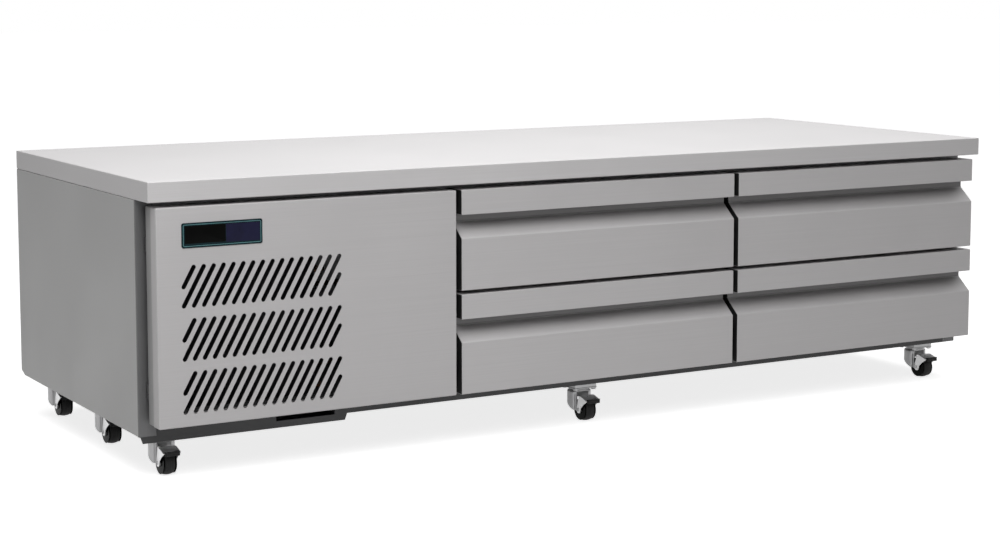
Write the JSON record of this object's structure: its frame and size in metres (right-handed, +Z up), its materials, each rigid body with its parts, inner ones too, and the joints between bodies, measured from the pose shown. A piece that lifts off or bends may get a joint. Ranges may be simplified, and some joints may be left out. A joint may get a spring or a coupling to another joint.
{
  "type": "refrigerated chef base",
  "caption": "Low refrigerated counter on castors: flat steel worktop, hinged slotted machine panel on the left and two banks of finger-pull drawers on the right.",
  "frame": {"origin": "on the floor under the middle of the cabinet's bounding box", "axes": "+Z up, +X to the right seen from the front, along the worktop's length; the drawers open towards -Y"},
  "size_m": [2.1, 0.817, 0.5915],
  "materials": {
    "satin_steel": "fine brushed stainless steel",
    "side_steel": "fine brushed stainless steel",
    "base_steel": "dull steel",
    "inner_steel": "dull steel",
    "bright_steel": "smooth stainless steel",
    "bright_zinc": "bright zinc plate",
    "fin_aluminium": "plain mill finish",
    "black_enamel": "semi-gloss black",
    "black_rubber": "matte black",
    "dark_plastic": "gloss dark blue-black"
  },
  "bodies": {
    "cabinet": {"worktop": "satin_steel", "left_side_panel": "side_steel", "right_side_panel": "side_steel", "back_panel": "side_steel", "base_panel": "base_steel", "ceiling_panel": "inner_steel", "machine_bulkhead": "inner_steel", "front_frame": "inner_steel", "machine_tray": "base_steel", "left_runner_rack": "bright_steel", "right_runner_rack": "bright_steel", "compressor": "black_enamel", "condenser_coil": "fin_aluminium", "fan_shroud": "inner_steel", "fan_motor": "black_enamel", "evaporator": "fin_aluminium", "front_left_castor_mount": "bright_zinc", "middle_left_castor_mount": "bright_zinc", "back_left_castor_mount": "bright_zinc", "front_middle_castor_mount": "bright_zinc", "back_middle_castor_mount": "bright_zinc", "front_right_castor_mount": "bright_zinc", "back_right_castor_mount": "bright_zinc"},
    "upper_left_drawer": {"upper_left_drawer_front": "satin_steel", "upper_left_gasket": "black_rubber", "upper_left_cradle": "bright_steel"},
    "lower_left_drawer": {"lower_left_drawer_front": "satin_steel", "lower_left_gasket": "black_rubber", "lower_left_cradle": "bright_steel"},
    "upper_right_drawer": {"upper_right_drawer_front": "satin_steel", "upper_right_gasket": "black_rubber", "upper_right_cradle": "bright_steel"},
    "lower_right_drawer": {"lower_right_drawer_front": "satin_steel", "lower_right_gasket": "black_rubber", "lower_right_cradle": "bright_steel"},
    "vent_door": {"vent_panel": "satin_steel", "controller": "dark_plastic"},
    "condenser_fan_rotor": {"condenser_fan": "fin_aluminium"},
    "evaporator_fan_rotor": {"evaporator_fan": "fin_aluminium"},
    "front_left_castor_swivel_body": {"front_left_castor_fork": "bright_zinc"},
    "front_left_castor_wheel_body": {"front_left_castor_wheel": "black_rubber"},
    "front_left_castor_brake_body": {"front_left_castor_brake": "bright_zinc"},
    "middle_left_castor_swivel_body": {"middle_left_castor_fork": "bright_zinc"},
    "middle_left_castor_wheel_body": {"middle_left_castor_wheel": "black_rubber"},
    "middle_left_castor_brake_body": {"middle_left_castor_brake": "bright_zinc"},
    "back_left_castor_swivel_body": {"back_left_castor_fork": "bright_zinc"},
    "back_left_castor_wheel_body": {"back_left_castor_wheel": "black_rubber"},
    "back_left_castor_brake_body": {"back_left_castor_brake": "bright_zinc"},
    "front_middle_castor_swivel_body": {"front_middle_castor_fork": "bright_zinc"},
    "front_middle_castor_wheel_body": {"front_middle_castor_wheel": "black_rubber"},
    "front_middle_castor_brake_body": {"front_middle_castor_brake": "bright_zinc"},
    "back_middle_castor_swivel_body": {"back_middle_castor_fork": "bright_zinc"},
    "back_middle_castor_wheel_body": {"back_middle_castor_wheel": "black_rubber"},
    "back_middle_castor_brake_body": {"back_middle_castor_brake": "bright_zinc"},
    "front_right_castor_swivel_body": {"front_right_castor_fork": "bright_zinc"},
    "front_right_castor_wheel_body": {"front_right_castor_wheel": "black_rubber"},
    "front_right_castor_brake_body": {"front_right_castor_brake": "bright_zinc"},
    "back_right_castor_swivel_body": {"back_right_castor_fork": "bright_zinc"},
    "back_right_castor_wheel_body": {"back_right_castor_wheel": "black_rubber"},
    "back_right_castor_brake_body": {"back_right_castor_brake": "bright_zinc"}
  },
  "joints": [
    {"name": "upper_left_slide", "type": "slide", "parent": "cabinet", "child": "upper_left_drawer", "axis": [0, -1, 0], "range_m": [0, 0.42]},
    {"name": "lower_left_slide", "type": "slide", "parent": "cabinet", "child": "lower_left_drawer", "axis": [0, -1, 0], "range_m": [0, 0.42]},
    {"name": "upper_right_slide", "type": "slide", "parent": "cabinet", "child": "upper_right_drawer", "axis": [0, -1, 0], "range_m": [0, 0.42]},
    {"name": "lower_right_slide", "type": "slide", "parent": "cabinet", "child": "lower_right_drawer", "axis": [0, -1, 0], "range_m": [0, 0.42]},
    {"name": "vent_door_hinge", "type": "hinge", "parent": "cabinet", "child": "vent_door", "pos_m": [-1.03, -0.3435, 0.114], "axis": [0, 0, -1], "range_deg": [0, 95]},
    {"name": "condenser_fan_spin", "type": "hinge", "parent": "cabinet", "child": "condenser_fan_rotor", "pos_m": [-0.833, -0.2729, 0.2743], "axis": [0, 1, 0], "continuous": true},
    {"name": "evaporator_fan_spin", "type": "hinge", "parent": "cabinet", "child": "evaporator_fan_rotor", "pos_m": [-0.023, 0.2786, 0.3275], "axis": [0, 1, 0], "continuous": true},
    {"name": "front_left_castor_swivel", "type": "hinge", "parent": "cabinet", "child": "front_left_castor_swivel_body", "pos_m": [-0.981, -0.276, 0.0712], "axis": [0, 0, 1], "continuous": true},
    {"name": "front_left_castor_wheel_spin", "type": "hinge", "parent": "front_left_castor_swivel_body", "child": "front_left_castor_wheel_body", "pos_m": [-0.981, -0.301, 0.025], "axis": [1, 0, 0], "continuous": true},
    {"name": "front_left_castor_brake_pedal", "type": "hinge", "parent": "front_left_castor_swivel_body", "child": "front_left_castor_brake_body", "pos_m": [-0.981, -0.301, 0.025], "axis": [1, 0, 0], "range_deg": [-12, 0]},
    {"name": "middle_left_castor_swivel", "type": "hinge", "parent": "cabinet", "child": "middle_left_castor_swivel_body", "pos_m": [-0.981, 0.038, 0.0712], "axis": [0, 0, 1], "continuous": true},
    {"name": "middle_left_castor_wheel_spin", "type": "hinge", "parent": "middle_left_castor_swivel_body", "child": "middle_left_castor_wheel_body", "pos_m": [-0.981, 0.013, 0.025], "axis": [1, 0, 0], "continuous": true},
    {"name": "middle_left_castor_brake_pedal", "type": "hinge", "parent": "middle_left_castor_swivel_body", "child": "middle_left_castor_brake_body", "pos_m": [-0.981, 0.013, 0.025], "axis": [1, 0, 0], "range_deg": [-12, 0]},
    {"name": "back_left_castor_swivel", "type": "hinge", "parent": "cabinet", "child": "back_left_castor_swivel_body", "pos_m": [-0.981, 0.352, 0.0712], "axis": [0, 0, 1], "continuous": true},
    {"name": "back_left_castor_wheel_spin", "type": "hinge", "parent": "back_left_castor_swivel_body", "child": "back_left_castor_wheel_body", "pos_m": [-0.981, 0.327, 0.025], "axis": [1, 0, 0], "continuous": true},
    {"name": "back_left_castor_brake_pedal", "type": "hinge", "parent": "back_left_castor_swivel_body", "child": "back_left_castor_brake_body", "pos_m": [-0.981, 0.327, 0.025], "axis": [1, 0, 0], "range_deg": [-12, 0]},
    {"name": "front_middle_castor_swivel", "type": "hinge", "parent": "cabinet", "child": "front_middle_castor_swivel_body", "pos_m": [0, -0.276, 0.0712], "axis": [0, 0, 1], "continuous": true},
    {"name": "front_middle_castor_wheel_spin", "type": "hinge", "parent": "front_middle_castor_swivel_body", "child": "front_middle_castor_wheel_body", "pos_m": [0, -0.301, 0.025], "axis": [1, 0, 0], "continuous": true},
    {"name": "front_middle_castor_brake_pedal", "type": "hinge", "parent": "front_middle_castor_swivel_body", "child": "front_middle_castor_brake_body", "pos_m": [0, -0.301, 0.025], "axis": [1, 0, 0], "range_deg": [-12, 0]},
    {"name": "back_middle_castor_swivel", "type": "hinge", "parent": "cabinet", "child": "back_middle_castor_swivel_body", "pos_m": [0, 0.352, 0.0712], "axis": [0, 0, 1], "continuous": true},
    {"name": "back_middle_castor_wheel_spin", "type": "hinge", "parent": "back_middle_castor_swivel_body", "child": "back_middle_castor_wheel_body", "pos_m": [0, 0.327, 0.025], "axis": [1, 0, 0], "continuous": true},
    {"name": "back_middle_castor_brake_pedal", "type": "hinge", "parent": "back_middle_castor_swivel_body", "child": "back_middle_castor_brake_body", "pos_m": [0, 0.327, 0.025], "axis": [1, 0, 0], "range_deg": [-12, 0]},
    {"name": "front_right_castor_swivel", "type": "hinge", "parent": "cabinet", "child": "front_right_castor_swivel_body", "pos_m": [0.981, -0.276, 0.0712], "axis": [0, 0, 1], "continuous": true},
    {"name": "front_right_castor_wheel_spin", "type": "hinge", "parent": "front_right_castor_swivel_body", "child": "front_right_castor_wheel_body", "pos_m": [0.981, -0.301, 0.025], "axis": [1, 0, 0], "continuous": true},
    {"name": "front_right_castor_brake_pedal", "type": "hinge", "parent": "front_right_castor_swivel_body", "child": "front_right_castor_brake_body", "pos_m": [0.981, -0.301, 0.025], "axis": [1, 0, 0], "range_deg": [-12, 0]},
    {"name": "back_right_castor_swivel", "type": "hinge", "parent": "cabinet", "child": "back_right_castor_swivel_body", "pos_m": [0.981, 0.352, 0.0712], "axis": [0, 0, 1], "continuous": true},
    {"name": "back_right_castor_wheel_spin", "type": "hinge", "parent": "back_right_castor_swivel_body", "child": "back_right_castor_wheel_body", "pos_m": [0.981, 0.327, 0.025], "axis": [1, 0, 0], "continuous": true},
    {"name": "back_right_castor_brake_pedal", "type": "hinge", "parent": "back_right_castor_swivel_body", "child": "back_right_castor_brake_body", "pos_m": [0.981, 0.327, 0.025], "axis": [1, 0, 0], "range_deg": [-12, 0]}
  ]
}
